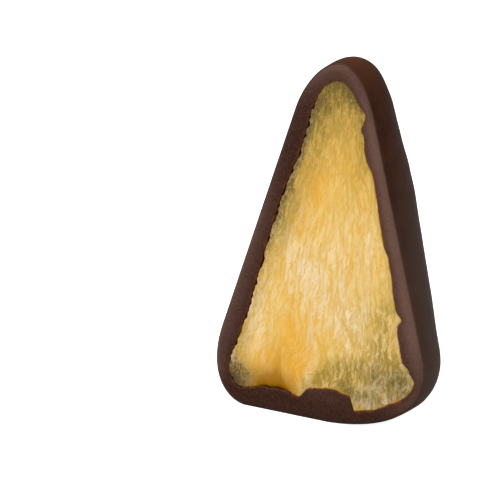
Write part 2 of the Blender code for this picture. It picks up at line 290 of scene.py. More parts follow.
# Sizes of the marks in the materials. Along the fibres, the width of a mark and its length.
CLOUD_SIZE = 2.4 * MM
MOTTLE_SIZE = 0.24 * MM
SPECK_SIZE = 0.22 * MM
RUBBED_SIZE = 3.2 * MM
SCUFF_SIZE = 0.3 * MM
SATIN_SIZE = 1.3 * MM
GRAIN_SIZE = 0.12 * MM
DIMPLE_SIZE = 0.9 * MM
BROAD_FIBRE = (0.5 * MM, 1.9 * MM)
FINE_FIBRE = (0.24 * MM, 0.8 * MM)
FURROW = (0.55 * MM, 1.9 * MM)
FIBRE_GRAIN = (0.1 * MM, 0.35 * MM)
STRAND = (0.42 * MM, 6.5 * MM)
FIBRE_SWAY = 0.42 * MM
FIBRE_SWAY_SIZE = 0.6 * MM
JUICE_CLOUD_SIZE = 0.3 * MM
CRUST_SIZE = 0.5 * MM
GLINT_SIZE = 0.15 * MM
PULP_SIZE = 0.3 * MM

# The stage: half the floor's side, and where each square light stands and how wide it is
FLOOR_REACH = 3.0
KEY_LIGHT_PLACE = (0.1, -0.46, 0.36)
KEY_LIGHT_SIZE = 0.42
TOP_LIGHT_PLACE = (-0.20, -0.10, 0.55)
TOP_LIGHT_SIZE = 0.5
WHITE = (1.0, 1.0, 1.0, 1.0)

# Mesh resolution
OUTLINE_SAMPLES = 4800
CORNER_STEPS = 120
COATING_STEPS = 1100
FRUIT_COLUMNS = 210
FRUIT_ROWS = 400
BACK_ROUNDING_RINGS = 11
SIDE_RINGS = 10
RIM_SHARES = (1.0, 0.97, *np.linspace(0.94, 0.0, 18))
BACK_SHARES = tuple(0.05 * k for k in range(1, 20))
INNER_SHARES = (0.25, 0.5, 0.75, 0.93)


def smooth_step(low, high, value):
    share = np.clip((value - low) / (high - low), 0.0, 1.0)
    return share * share * (3.0 - 2.0 * share)


def held(values):
    """The values, held between 0 and 1."""
    return np.clip(values, 0.0, 1.0)


def bell(value, centre, width):
    """A soft bump that is 1 at the centre and dies away over the width."""
    return np.exp(-(((value - centre) / width) ** 2))


def spot(x, z, centre, radii, turn=0.0):
    """A soft oval patch on the cut, 1 at its centre: centre and radii in millimetres."""
    c, s = math.cos(turn), math.sin(turn)
    dx, dz = x / MM - centre[0], z / MM - centre[1]
    return np.exp(-(((dx * c + dz * s) / radii[0]) ** 2) - (((dz * c - dx * s) / radii[1]) ** 2))


def patches(x, z, kind):
    """All the soft oval patches of one kind, added up."""
    return sum(strength * spot(x, z, *oval) for strength, *oval in PATCHES[kind])


def lattice_angle(i, j, seed):
    """A repeatable direction for each lattice point."""
    h = i.astype(np.uint32) * np.uint32(374761393) + j.astype(np.uint32) * np.uint32(668265263)
    h += np.uint32(seed * 2246822519 & 0xFFFFFFFF)
    h = (h ^ (h >> np.uint32(13))) * np.uint32(1274126177)
    h ^= h >> np.uint32(16)
    return h.astype(np.float64) * (math.tau / 2**32)


def ripple(x, y, seed=0):
    """Smooth two-dimensional noise between about -1 and 1, with features one unit across."""
    i, j = np.floor(x).astype(np.int64), np.floor(y).astype(np.int64)
    fx, fy = x - i, y - j
    u, v = fx**3 * (fx * (fx * 6 - 15) + 10), fy**3 * (fy * (fy * 6 - 15) + 10)
    corner = {}
    for a in (0, 1):
        for b in (0, 1):
            turn = lattice_angle(i + a, j + b, seed)
            corner[a, b] = np.cos(turn) * (fx - a) + np.sin(turn) * (fy - b)
    low = corner[0, 0] * (1 - u) + corner[1, 0] * u
    high = corner[0, 1] * (1 - u) + corner[1, 1] * u
    return 1.5 * (low * (1 - v) + high * v)


def layered(x, y, seed=0, octaves=3):
    """Ripple noise with finer, weaker layers on top."""
    total, weight = np.zeros_like(x), 0.0
    for k in range(octaves):
        total += ripple(x * 2**k, y * 2**k, seed + 17 * k) / 2**k
        weight += 1 / 2**k
    return total / weight


def corner_curve(corner, before, after):
    """Points of the rounded corner, a cubic curve that is tangent to both sides."""
    tip = np.array(corner[:2])
    to_before = np.array(before[:2]) - tip
    to_after = np.array(after[:2]) - tip
    start = tip + to_before / np.linalg.norm(to_before) * corner[2]
    end = tip + to_after / np.linalg.norm(to_after) * corner[3]
    first = start + (tip - start) * corner[4]
    second = end + (tip - end) * corner[5]
    t = np.linspace(0.0, 1.0, CORNER_STEPS)[:, None]
    return (
        (1 - t) ** 3 * start
        + 3 * t * (1 - t) ** 2 * first
        + 3 * t**2 * (1 - t) * second
        + t**3 * end
    )


class Outline:
    """The wedge's closed outline, anticlockwise from mid-foot, read by share of its length."""

    def __init__(self):
        right = corner_curve(FOOT_RIGHT, FOOT_LEFT, APEX)
        top = corner_curve(APEX, FOOT_RIGHT, FOOT_LEFT)
        left = corner_curve(FOOT_LEFT, APEX, FOOT_RIGHT)
        start = (left[-1] + right[0]) / 2
        path = np.vstack([start, right, top, left, start])
        lengths = np.r_[0.0, np.cumsum(np.linalg.norm(np.diff(path, axis=0), axis=1))]
        self.length = lengths[-1]
        self.shares = np.linspace(0.0, 1.0, OUTLINE_SAMPLES, endpoint=False)
        along = self.shares * self.length
        self.points = np.column_stack([np.interp(along, lengths, path[:, k]) for k in (0, 1)])
        reach = round(DIRECTION_REACH / self.length * OUTLINE_SAMPLES)
        tangents = np.roll(self.points, -reach, axis=0) - np.roll(self.points, reach, axis=0)
        tangents /= np.linalg.norm(tangents, axis=1)[:, None]
        self.inward = np.column_stack([-tangents[:, 1], tangents[:, 0]])

    def nearest_share(self, x, z):
        return self.shares[np.argmin(np.hypot(self.points[:, 0] - x, self.points[:, 1] - z))]

    def read(self, values, shares):
        """Values kept along the outline, read at any shares of its length."""
        return np.interp(shares, self.shares, values, period=1.0)

    def inset(self, shares, distance):
        """Points that lie that distance inside the outline."""
        base = [self.read(self.points[:, k], shares) for k in (0, 1)]
        way = [self.read(self.inward[:, k], shares) for k in (0, 1)]
        return np.column_stack([base[k] + way[k] * distance for k in (0, 1)])


def coating_thickness(outline, shares, settings):
    """The thickness of the coating round the cut, with its torn inner edge."""
    places = np.array([outline.nearest_share(x, z) for x, z, _ in COATING])
    values = np.array([thickness for _, _, thickness in COATING])
    order = np.argsort(places)
    places, values = places[order], values[order]
    looped_places = np.r_[places[-1] - 1.0, places, places[0] + 1.0]
    looped_values = np.r_[values[-1], values, values[0]]
    shares = np.mod(shares, 1.0)
    index = np.searchsorted(looped_places, shares, side="right") - 1
    low, high = looped_places[index], looped_places[index + 1]
    blend = smooth_step(low, high, shares)
    smooth = looped_values[index] * (1 - blend) + looped_values[index + 1] * blend
    turns = outline.length / RAGGED_LENGTH / math.tau
    ragged = [
        noise.noise(Vector((turns * math.cos(math.tau * s), turns * math.sin(math.tau * s), 0.0)))
        for s in shares
    ]
    torn = 0.0
    for strength, length, offset, seed in TORN_WAVES:
        torn = torn + strength * edge_ripple(outline, shares, length, seed, offset)
    x, z = outline.inset(shares, 0.0).T
    rough = 0.35 + 0.65 * smooth_step(2 * MM, -2 * MM, x) + 0.3 * smooth_step(6 * MM, 1 * MM, z)
    tongue = 0.4 * MM * bell(z, 35.4 * MM, 0.7 * MM) - 0.25 * MM * bell(z, 37.0 * MM, 0.7 * MM)
    tongue = np.where(x > 3.0 * MM, tongue, 0.0)
    return smooth + RAGGED_EDGE * np.array(ragged) + settings.torn_edge * rough * torn + tongue


def edge_ripple(outline, shares, length, seed, offset=0.0):
    """Noise along the outline, with waves of about that length."""
    along = shares * outline.length
    return ripple(along / length, along * 0.0 + offset, seed=seed)


def spine_points(points):
    """For each point, the point on the middle line of the wedge towards which a flat end closes."""
    low_z, high_z = 9.0 * MM, 31.0 * MM
    z = np.clip(points[:, 1], low_z, high_z)
    lean = APEX[0] / APEX[1]
    return np.column_stack([lean * z, z])


def deepened(depth, z):
    """The depth with the belly of the wedge, which swells its back and leaves the cut flat."""
    edge = RIM_DROP + RIM_CORNER
    belly = BELLY * np.exp(-(((z - BELLY_Z) / BELLY_HEIGHT) ** 2))
    return np.where(depth > edge, edge + (depth - edge) * (1 + belly / (DEPTH - edge)), depth)


def closing_rings(edge, shares, depths):
    """Rings that close a flat end, at shares of the way from its edge to the middle line."""
    way = spine_points(edge) - edge
    return [ring_of(edge + way * share, depth) for share, depth in zip(shares, depths)]


def ring_of(points, depth):
    """Vertices at one depth, from points of the outline's plane."""
    depths = deepened(np.broadcast_to(depth, len(points)), points[:, 1])
    return np.column_stack([points[:, 0], depths, points[:, 1]])


def swollen(outline, shares, ring):
    """A ring of the outer surface with the coating's soft bulge and waves, flat where it stands."""
    depth = ring[:, 1]
    bulge = SIDE_BULGE * np.sin(math.pi * np.clip(depth / DEPTH, 0.0, 1.0))
    wave = np.array([noise.noise(Vector(v) / WAVE_LENGTH) for v in ring])
    small_shift, flow_shift = Vector((5, 5, 5)), Vector((9, 2, 4))
    small = np.array([noise.noise(Vector(v) / SMALL_WAVE_LENGTH + small_shift) for v in ring])
    flow = [noise.noise(Vector(v / FLOW_LENGTHS) / MM + flow_shift) for v in ring]
    facing = smooth_step(DEPTH - BACK_ROUNDING_DEPTH, DEPTH, depth)
    relief = wave * SURFACE_WAVE + small * SMALL_WAVE + facing**3 * np.array(flow) * FLOW_HEIGHT
    grow = smooth_step(RIM_DROP, DEPTH / 2, depth) * relief
    inward = np.column_stack([outline.read(outline.inward[:, k], shares) for k in (0, 1)])
    out = ring.copy()
    out[:, 0] -= inward[:, 0] * (bulge * (1 - facing) + grow)
    out[:, 2] -= inward[:, 1] * (bulge * (1 - facing) + grow)
    out[:, 1] += grow * facing
    out[:, 2] = np.maximum(out[:, 2], 0.0)
    return out


def outer_rings(outline, shares):
    """The coating's outer surface, from the middle of its back to its cut edge."""
    foot = smooth_step(FOOT_ROUNDING_TOP_Z, 0.0, outline.read(outline.points[:, 1], shares))
    round_depth = BACK_ROUNDING_DEPTH + (FOOT_ROUNDING - BACK_ROUNDING_DEPTH) * foot
    round_inset = BACK_ROUNDING_INSET + (FOOT_ROUNDING - BACK_ROUNDING_INSET) * foot
    side_end = DEPTH - BACK_DOME - round_depth
    depths = [DEPTH - BACK_DOME * (1 - share) ** 2 for share in BACK_SHARES]
    rings = closing_rings(outline.inset(shares, round_inset), BACK_SHARES, depths)[::-1]
    for angle in np.radians(np.linspace(90.0, 0.0, BACK_ROUNDING_RINGS)):
        inset = round_inset * (1 - math.cos(angle))
        depth = side_end + round_depth * math.sin(angle)
        rings.append(ring_of(outline.inset(shares, inset), depth))
    front = RIM_DROP + RIM_CORNER
    for share in np.linspace(0.9, 0.0, SIDE_RINGS):
        rings.append(ring_of(outline.inset(shares, 0.0), front + (side_end - front) * share))
    return [swollen(outline, shares, ring) for ring in rings]


def inner_end(outline, shares, inset, floor, angles):
    """The rounded inner end that cup and fruit share, and its flat floor up to its middle."""
    rings = []
    for angle in np.radians(angles):
        points = outline.inset(shares, inset + INNER_ROUNDING_INSET * (1 - math.cos(angle)))
        rings.append(ring_of(points, floor - INNER_ROUNDING_DEPTH * (1 - math.sin(angle))))
    return rings + closing_rings(points, INNER_SHARES, [floor] * len(INNER_SHARES))


def new_piece(name, vertices, faces, masks):
    """A smooth object from the mesh, with each mask kept as a value on its points."""
    data = bpy.data.meshes.new(name)
    data.from_pydata([tuple(v) for v in vertices], [], faces)
    for key, values in masks.items():
        attribute = data.attributes.new(key, "FLOAT", "POINT")
        attribute.data.foreach_set("value", np.asarray(values, dtype=np.float32))
    data.update()
    data.shade_smooth()
    obj = bpy.data.objects.new(name, data)
    bpy.context.scene.collection.objects.link(obj)
    return obj


def ring_faces(first, second):
    """Quads between two closed rings of vertex numbers."""
    return list(zip(first, first[1:] + first[:1], second[1:] + second[:1], second))


class Nodes:
    """A small helper that adds and links the nodes of one material."""

    def __init__(self, name):
        self.material = bpy.data.materials.new(name)
        self.material.use_nodes = True
        self.tree = self.material.node_tree
        self.shader = self.tree.nodes["Principled BSDF"]

    def add(self, kind, **settings):
        node = self.tree.nodes.new(kind)
        for key, value in settings.items():
            setattr(node, key, value)
        return node

    def link(self, source, target):
        """Links the source to the socket, or writes it there if it is a plain value."""
        if isinstance(source, (int, float, tuple)):
            target.default_value = source
        else:
            self.tree.links.new(source, target)

    def set(self, **values):
        """Links or writes the shader's sockets, each named with _ for a space."""
        for key, value in values.items():
            self.link(value, self.shader.inputs[key.replace("_", " ")])

    def value(self, name):
        """A mask that was kept on the mesh."""
        return self.add("ShaderNodeAttribute", attribute_name=name).outputs["Fac"]

    def math(self, operation, first, second=0.0, clamp=False):
        node = self.add("ShaderNodeMath", operation=operation, use_clamp=clamp)
        self.link(first, node.inputs[0])
        self.link(second, node.inputs[1])
        return node.outputs[0]

    def plus(self, first, second, clamp=False):
        return self.math("ADD", first, second, clamp)

    def minus(self, first, second, clamp=False):
        return self.math("SUBTRACT", first, second, clamp)

    def times(self, first, second):
        return self.math("MULTIPLY", first, second)

    def mix(self, share, first, second):
        node = self.add("ShaderNodeMix", data_type="RGBA", blend_type="MIX")
        self.link(share, node.inputs["Factor"])
        self.link(first, node.inputs[6])
        self.link(second, node.inputs[7])
        return node.outputs[2]

    def noise_at(self, place, detail, roughness):
        """Noise with features about one unit across."""
        node = self.add("ShaderNodeTexNoise")
        self.link(place, node.inputs["Vector"])
        node.inputs["Scale"].default_value = 1.0
        node.inputs["Detail"].default_value = detail
        node.inputs["Roughness"].default_value = roughness
        return node.outputs["Fac"]

    def noise(self, size, detail=3.0, roughness=0.5, stretch=(1.0, 1.0, 1.0)):
        """Noise with features about that many metres across, in the piece's own space."""
        mapping = self.add("ShaderNodeMapping")
        place = self.add("ShaderNodeTexCoord").outputs["Object"]
        self.link(place, mapping.inputs["Vector"])
        mapping.inputs["Scale"].default_value = [s / size for s in stretch]
        return self.noise_at(mapping.outputs["Vector"], detail, roughness)

    def fibre_noise(self, width, length, detail=3.0):
        """Noise drawn out along the fibres, by the fruit's own places across and along them."""
        place = self.add("ShaderNodeCombineXYZ")
        sway = self.minus(self.noise(FIBRE_SWAY_SIZE, detail=2.0), 0.5)
        across = self.plus(self.value("across"), self.times(sway, FIBRE_SWAY))
        self.link(self.math("DIVIDE", across, width), place.inputs["X"])
        self.link(self.math("DIVIDE", self.value("along"), length), place.inputs["Y"])
        return self.noise_at(place.outputs["Vector"], detail, 0.55)

    def span(self, value, low, high, to_low=0.0, to_high=1.0):
        """The value's range low to high, stretched onto another range and held there."""
        node = self.add("ShaderNodeMapRange", interpolation_type="SMOOTHSTEP")
        for source, target in zip((value, low, high, to_low, to_high), node.inputs):
            self.link(source, target)
        return node.outputs["Result"]

    def bump(self, height, distance, strength, normal=None):
        node = self.add("ShaderNodeBump")
        self.link(height, node.inputs["Height"])
        node.inputs["Distance"].default_value = distance
        self.link(strength, node.inputs["Strength"])
        if normal is not None:
            self.link(normal, node.inputs["Normal"])
        return node.outputs["Normal"]


def opaque(colour):
    return (*colour, 1.0)


def chocolate_material(settings):
    """Dark chocolate: satin outside, matt with a fine pale grain where it is cut, and painted
    light, shade and sheen on its sides and rim.
    """
    n = Nodes("dark_chocolate")
    cut, bloom = n.value("cut"), n.value("bloom")
    outside = n.minus(1.0, cut)

    cloud = n.span(n.noise(CLOUD_SIZE, detail=4.0), 0.35, 0.68)
    outer = n.mix(cloud, opaque(settings.dark_colour), opaque(settings.light_colour))
    # Painted light on the sides away from the cut edge and on the crest at the narrow end, so the
    # side beside the cut edge stays darker
    outer = n.mix(n.times(n.value("far"), 0.45), outer, opaque(settings.painted_light_colour))
    # Painted reflection of the floor: greyer chocolate low on the sides and midway along them
    outer = n.mix(n.times(bloom, outside), outer, opaque(settings.painted_sheen_colour))

    mottle = n.minus(n.noise(MOTTLE_SIZE, detail=4.0, roughness=0.8), 0.5)
    # On the cut, the share of pale grain also paints light on the right and top of the rim, shade
    # low down and on its left, and a reflection along its outer edge
    grain = n.plus(bloom, n.times(mottle, 0.8), clamp=True)
    inner = n.mix(grain, opaque(settings.cut_colour), opaque(settings.bloom_colour))

    colour = n.mix(cut, outer, inner)
    speck = n.span(n.noise(SPECK_SIZE, detail=1.0), 0.74, 0.78)
    colour = n.mix(n.times(speck, 0.4), colour, opaque(settings.speck_colour))
    rubbed = n.span(n.noise(RUBBED_SIZE, detail=2.0), 0.5, 0.7)
    scuff = n.span(n.noise(SCUFF_SIZE, detail=2.0, stretch=(1.0, 1.0, 0.22)), 0.56, 0.7)
    scuff = n.times(n.times(scuff, rubbed), outside)
    colour = n.mix(n.times(scuff, 0.35), colour, opaque(settings.scuff_colour))
    colour = n.mix(n.value("film"), colour, opaque(settings.film_colour))

    smooth, dull = settings.roughness - 0.05, settings.roughness + 0.07
    satin = n.span(n.noise(SATIN_SIZE, detail=4.0), 0.3, 0.7, smooth, dull)
    matt = n.times(cut, settings.cut_roughness - settings.roughness)
    fine = n.noise(GRAIN_SIZE, detail=4.0, roughness=0.65)
    normal = n.bump(fine, 0.018 * MM, n.plus(0.12, n.times(cut, 0.75)))
    normal = n.bump(n.noise(DIMPLE_SIZE, detail=3.0), 0.06 * MM, 0.35, normal)
    n.set(Base_Color=colour, Roughness=n.plus(satin, matt), Normal=normal)
    n.set(Specular_IOR_Level=0.045, Coat_Weight=n.times(outside, 0.1), Coat_Roughness=0.3)
    return n.material


def fruit_material(settings):
    """Moist pineapple: pale flakes over gold, orange at its heart, olive where it is glassy, with
    painted shade, glow and glints.
    """
    n = Nodes("pineapple_flesh")
    orange, olive, glassy = n.value("orange"), n.value("olive"), n.value("glassy")
    broad = n.span(n.fibre_noise(*BROAD_FIBRE), 0.44, 0.56)
    fine = n.span(n.fibre_noise(*FINE_FIBRE), 0.42, 0.58)
    line = n.math("ABSOLUTE", n.minus(n.fibre_noise(*FURROW, detail=2.0), 0.5))
    line = n.span(line, 0.0, 0.035, 1.0, 0.0)
    grain = n.minus(n.fibre_noise(*FIBRE_GRAIN, detail=2.0), 0.5)
    strand = n.span(n.fibre_noise(*STRAND, detail=2.0), 0.4, 0.6, -0.5, 0.5)
    strand = n.times(strand, n.value("stringy"))

    # Pale flesh on the flakes and fibres, and gold or orange between them
    between = n.mix(orange, opaque(settings.gold_colour), opaque(settings.orange_colour))
    flesh = n.mix(n.value("pale"), opaque(settings.yellow_colour), opaque(settings.cream_colour))
    share = n.plus(n.times(n.value("flake"), 0.45), n.times(broad, 0.3))
    share = n.plus(share, n.times(fine, 0.3))
    share = n.plus(share, n.plus(n.times(grain, 0.5), n.times(strand, 0.55)))
    share = n.minus(share, n.times(line, 0.5), clamp=True)
    share = n.times(share, n.minus(1.0, n.times(orange, 0.55)))
    colour = n.mix(share, between, flesh)

    # Dull, deep and glassy ground, which the fibres partly cover; much of it paints shade along the
    # edges, in the crease and gaps and at the narrow end, and light coming through along the right
    # side
    cover = n.plus(broad, n.plus(fine, strand))
    bare = n.minus(1.1, n.times(cover, 0.43), clamp=True)
    # Dull murky ground, partly painted shade along the edges and at the narrow end
    colour = n.mix(n.times(n.value("murky"), bare), colour, opaque(settings.murky_and_shade_colour))
    # Deep gold painted as shade by the crease and at the foot, and as light coming through along
    # the right side
    colour = n.mix(n.value("shade_and_glow"), colour, opaque(settings.shade_and_glow_colour))
    cloudy = n.minus(n.noise(JUICE_CLOUD_SIZE, detail=4.0, roughness=0.7), 0.5)
    strands = n.minus(n.times(n.plus(fine, broad), 0.5), 0.5)
    loose = n.plus(n.times(cloudy, 2.0), n.times(strands, 0.35))
    glass = n.minus(olive, n.times(loose, olive), clamp=True)
    # Glassy olive, partly painted shade beside the coating and at the narrow end
    colour = n.mix(glass, colour, opaque(settings.olive_and_shade_colour))
    # Painted shade in the gaps, along the seam and in the lower left corner
    colour = n.mix(n.value("dark"), colour, opaque(settings.gap_shade_colour))

    # Dry crusts, and painted glints of light in the glassy places
    crust = n.times(n.span(n.noise(CRUST_SIZE, detail=3.0), 0.46, 0.64), 0.7)
    dry = n.plus(crust, n.times(n.times(fine, broad), 0.7), clamp=True)
    colour = n.mix(n.times(dry, n.value("frost")), colour, opaque(settings.frost_colour))
    glint = n.span(n.noise(GLINT_SIZE, detail=1.0), 0.73, 0.78)
    colour = n.mix(n.times(glint, glassy), colour, opaque(settings.painted_glint_colour))

    relief = n.plus(n.times(broad, 0.5), n.times(fine, 0.5))
    relief = n.minus(relief, n.times(line, 0.35))
    normal = n.bump(relief, 0.05 * MM, 0.8)
    pulp = n.noise(PULP_SIZE, detail=3.0, roughness=0.6)
    normal = n.bump(pulp, 0.12 * MM, n.times(glassy, 0.8), normal)
    wet = n.minus(settings.roughness, n.times(glassy, 0.24))
    n.set(Base_Color=colour, Roughness=wet, Specular_IOR_Level=0.27, Normal=normal)
    n.set(Subsurface_Weight=settings.glow, Subsurface_Radius=(1.0, 0.62, 0.26))
    n.set(Subsurface_Scale=settings.glow_depth)
    return n.material


def fruit_shares(outline):
    """Shares of the outline for the fruit's edge, anticlockwise from the left end of its foot."""
    left_foot = outline.nearest_share(*FOOT_LEFT[:2]) - 1.0
    right_foot = outline.nearest_share(*FOOT_RIGHT[:2])
    right_top = outline.nearest_share(*FRUIT_TOP_RIGHT)
    left_top = outline.nearest_share(*FRUIT_TOP_LEFT)
    sides = [
        np.linspace(left_foot, right_foot, FRUIT_COLUMNS, endpoint=False),
        np.linspace(right_foot, right_top, FRUIT_ROWS, endpoint=False),
        np.linspace(right_top, left_top, FRUIT_COLUMNS, endpoint=False),
        np.linspace(left_top, left_foot + 1.0, FRUIT_ROWS, endpoint=False),
    ]
    return np.concatenate(sides)


def fruit_grid(edge):
    """Points across the cut fruit, blended between its four sides, in rows from its foot up."""
    right_foot, right_top = FRUIT_COLUMNS, FRUIT_COLUMNS + FRUIT_ROWS
    left_top = right_top + FRUIT_COLUMNS
    foot = edge[: right_foot + 1]
    right = edge[right_foot : right_top + 1]
    top = edge[right_top : left_top + 1][::-1]
    left = np.vstack([edge[left_top:], edge[:1]])[::-1]
    u = np.linspace(0.0, 1.0, FRUIT_COLUMNS + 1)[None, :, None]
    v = np.linspace(0.0, 1.0, FRUIT_ROWS + 1)[:, None, None]
    low_corners = (1 - u) * (1 - v) * foot[0] + u * (1 - v) * foot[-1]
    corners = low_corners + (1 - u) * v * top[0] + u * v * top[-1]
    across = (1 - v) * foot[None] + v * top[None]
    along = (1 - u) * left[:, None] + u * right[:, None]
    return across + along - corners


def edge_distance(points, edge):
    """How far each point lies from the edge of the fruit."""
    tree = kdtree.KDTree(len(edge))
    for i, (x, z) in enumerate(edge):
        tree.insert((x, 0.0, z), i)
    tree.balance()
    return np.array([tree.find((x, 0.0, z))[2] for x, z in points])


def fibre_place(x, z):
    """How far each point lies across the fibres and along them, with the fibres' own waves."""
    across = np.arctan2(x - CORE_X, CORE_Z - z) * FAN_RADIUS
    along = np.hypot(x - CORE_X, CORE_Z - z)
    across = across - 0.7 * (z - 7.6 * MM) * spot(x, z, (-2.4, 7.4), (1.7, 2.8))
    across = across + 0.35 * MM * ripple(across / (1.7 * MM), along / (4.5 * MM), seed=1)
    across = across + 0.12 * MM * ripple(across / (0.5 * MM), along / (1.1 * MM), seed=2)
    stagger = 1.6 * across + 0.9 * MM * ripple(across / (1.2 * MM), along / (5.0 * MM), seed=10)
    return across, along + stagger


def flake_field(across, along, fullness, settings):
    """The pale flakes of flesh that lie along the fibres: 0 between them and 1 on them."""
    u, v = across / settings.flake_width, along / settings.flake_length
    field = ripple(u, v, seed=3) + 0.6 * ripple(u * 1.9, v * 2.1, seed=4)
    field = field + 0.5 * ripple(u / 2.6, v / 1.7, seed=5)
    return smooth_step(-0.55, 0.55, field + fullness)


def crease_offset(x, z):
    """How far each point lies to the right of the crease."""
    return x - CREASE_X + CREASE_LEAN * (z - CREASE_Z)


class PINEAPPLE_PG_coating(bpy.types.PropertyGroup):
    """Sizes and colours of the chocolate coating"""

    torn_edge: bpy.props.FloatProperty(
        name="Torn edge",
        description="How far the inner edge of the cut coating wanders",
        default=0.075 * MM,
        unit="LENGTH",
    )
    rim_unevenness: bpy.props.FloatProperty(
        name="Rim unevenness",
        description="Height of the low lumps on the cut coating",
        default=0.035 * MM,
        unit="LENGTH",
    )
    roughness: bpy.props.FloatProperty(
        name="Outer roughness",
        description="Roughness of the satin outer surface",
        default=0.58,
        min=0.0,
        max=1.0,
        subtype="FACTOR",
    )
    cut_roughness: bpy.props.FloatProperty(
        name="Cut roughness",
        description="Roughness of the cut chocolate",
        default=0.52,
        min=0.0,
        max=1.0,
        subtype="FACTOR",
    )
    dark_colour: bpy.props.FloatVectorProperty(
        name="Dark colour",
        description="Darker shade of the chocolate",
        default=(0.042, 0.0125, 0.005),
        subtype="COLOR",
    )
    light_colour: bpy.props.FloatVectorProperty(
        name="Light colour",
        description="Lighter shade of the chocolate",
        default=(0.066, 0.0225, 0.0105),
        subtype="COLOR",
    )
    cut_colour: bpy.props.FloatVectorProperty(
        name="Cut colour",
        description="Darkest chocolate on the cut",
        default=(0.034, 0.011, 0.006),
        subtype="COLOR",
    )
    # Pale grain, also painting light, shade and a reflection on the rim
    bloom_colour: bpy.props.FloatVectorProperty(
        name="Pale grain and painted light",
        description="Pale grain on the cut chocolate, also painted as light and reflection on the rim",
        default=(0.175, 0.095, 0.072),
        subtype="COLOR",
    )
    speck_colour: bpy.props.FloatVectorProperty(
        name="Speck colour",
        description="Tiny pale specks of bloom",
        default=(0.16, 0.095, 0.068),
        subtype="COLOR",
    )
    scuff_colour: bpy.props.FloatVectorProperty(
        name="Scuff colour",
        description="Fine rubbed streaks on the outside",
        default=(0.15, 0.07, 0.045),
        subtype="COLOR",
    )
    # Painted light on the sides away from the cut edge and on the crest at the narrow end
    painted_light_colour: bpy.props.FloatVectorProperty(
        name="Painted light",
        description="Painted light on the sides away from the cut edge, and on the crest at the narrow end",
        default=(0.1, 0.036, 0.0175),
        subtype="COLOR",
    )
    # Painted reflection of the floor, low on the sides and midway along them
    painted_sheen_colour: bpy.props.FloatVectorProperty(
        name="Painted sheen",
        description="Greyer chocolate painted low on the sides as a reflection of the floor",
        default=(0.086, 0.0495, 0.0375),
        subtype="COLOR",
    )
    film_colour: bpy.props.FloatVectorProperty(
        name="Film colour",
        description="Thin chocolate film along the fruit, where light comes through",
        default=(0.2, 0.054, 0.014),
        subtype="COLOR",
    )


class PINEAPPLE_PG_fruit(bpy.types.PropertyGroup):
    """Sizes and colours of the fruit"""

    flake_width: bpy.props.FloatProperty(
        name="Flake width",
        description="Distance from one pale flake to the next, across the fibres",
        default=0.34 * MM,
        unit="LENGTH",
    )
    flake_length: bpy.props.FloatProperty(
        name="Flake length",
        description="Length of a pale flake along the fibres",
        default=1.9 * MM,
        unit="LENGTH",
    )
    flake_height: bpy.props.FloatProperty(
        name="Flake height",
        description="How far the pale flakes stand out of the flesh",
        default=0.03 * MM,
        unit="LENGTH",
    )
    swell: bpy.props.FloatProperty(
        name="Swell",
        description="How far the middle of the fruit stands out of the cut",
        default=0.16 * MM,
        unit="LENGTH",
    )
    recess: bpy.props.FloatProperty(
        name="Recess",
        description="How far the fruit lies behind the coating at its edge",
        default=0.12 * MM,
        unit="LENGTH",
    )
    fissure: bpy.props.FloatProperty(
        name="Fissure depth",
        description="Depth of the gaps where the fruit has drawn back from the coating",
        default=0.9 * MM,
        unit="LENGTH",
    )
    roughness: bpy.props.FloatProperty(
        name="Roughness",
        description="Roughness of the moist flesh",
        default=0.42,
        min=0.0,
        max=1.0,
        subtype="FACTOR",
    )
    glow: bpy.props.FloatProperty(
        name="Glow",
        description="Share of light that travels inside the flesh",
        default=0.2,
        min=0.0,
        max=1.0,
        subtype="FACTOR",
    )
    glow_depth: bpy.props.FloatProperty(
        name="Glow depth",
        description="How far light travels inside the flesh",
        default=0.35 * MM,
        unit="LENGTH",
    )
    yellow_colour: bpy.props.FloatVectorProperty(
        name="Yellow",
        description="Main colour of the flesh",
        default=(0.86, 0.59, 0.185),
        subtype="COLOR",
    )
    gold_colour: bpy.props.FloatVectorProperty(
        name="Gold",
        description="Furrows between the fibres",
        default=(0.8, 0.475, 0.075),
        subtype="COLOR",
    )
    cream_colour: bpy.props.FloatVectorProperty(
        name="Cream",
        description="Pale crests and patches",
        default=(0.88, 0.7, 0.42),
        subtype="COLOR",
    )
    orange_colour: bpy.props.FloatVectorProperty(
        name="Orange",
        description="Ripe heart near the foot",
        default=(0.84, 0.43, 0.035),
        subtype="COLOR",
    )
    # Glassy olive, also painted shade beside the coating and at the narrow end
    olive_and_shade_colour: bpy.props.FloatVectorProperty(
        name="Olive and painted shade",
        description="Glassy flesh at the narrow end and in the corners, also painted as shade along the coating and at the narrow end",
        default=(0.175, 0.112, 0.018),
        subtype="COLOR",
    )
    # Dull ground, also painted shade along the edges and at the narrow end
    murky_and_shade_colour: bpy.props.FloatVectorProperty(
        name="Murky and painted shade",
        description="Dull yellow ground between the flakes near the foot, also painted as shade along the edges and at the narrow end",
        default=(0.4, 0.262, 0.03),
        subtype="COLOR",
    )
    # Painted shade in the crease and at the foot, and painted light coming through along the right
    # side
    shade_and_glow_colour: bpy.props.FloatVectorProperty(
        name="Painted shade and glow",
        description="Deep gold painted as shade in the crease and where the flesh turns in at the foot, and as light coming through along the right side",
        default=(0.46, 0.195, 0.0),
        subtype="COLOR",
    )
    # Painted glints of light
    painted_glint_colour: bpy.props.FloatVectorProperty(
        name="Painted glint",
        description="Painted glints of light in the glassy places",
        default=(0.85, 0.78, 0.6),
        subtype="COLOR",
    )
    frost_colour: bpy.props.FloatVectorProperty(
        name="Frost",
        description="Dry greyish flesh beside the coating",
        default=(0.5, 0.42, 0.24),
        subtype="COLOR",
    )
    # Painted shade in the gaps, along the seam and in the lower left corner
    gap_shade_colour: bpy.props.FloatVectorProperty(
        name="Painted gap shade",
        description="Painted shade in the gaps beside the coating, along its seam and in the lower left corner",
        default=(0.02, 0.009, 0.004),
        subtype="COLOR",
    )


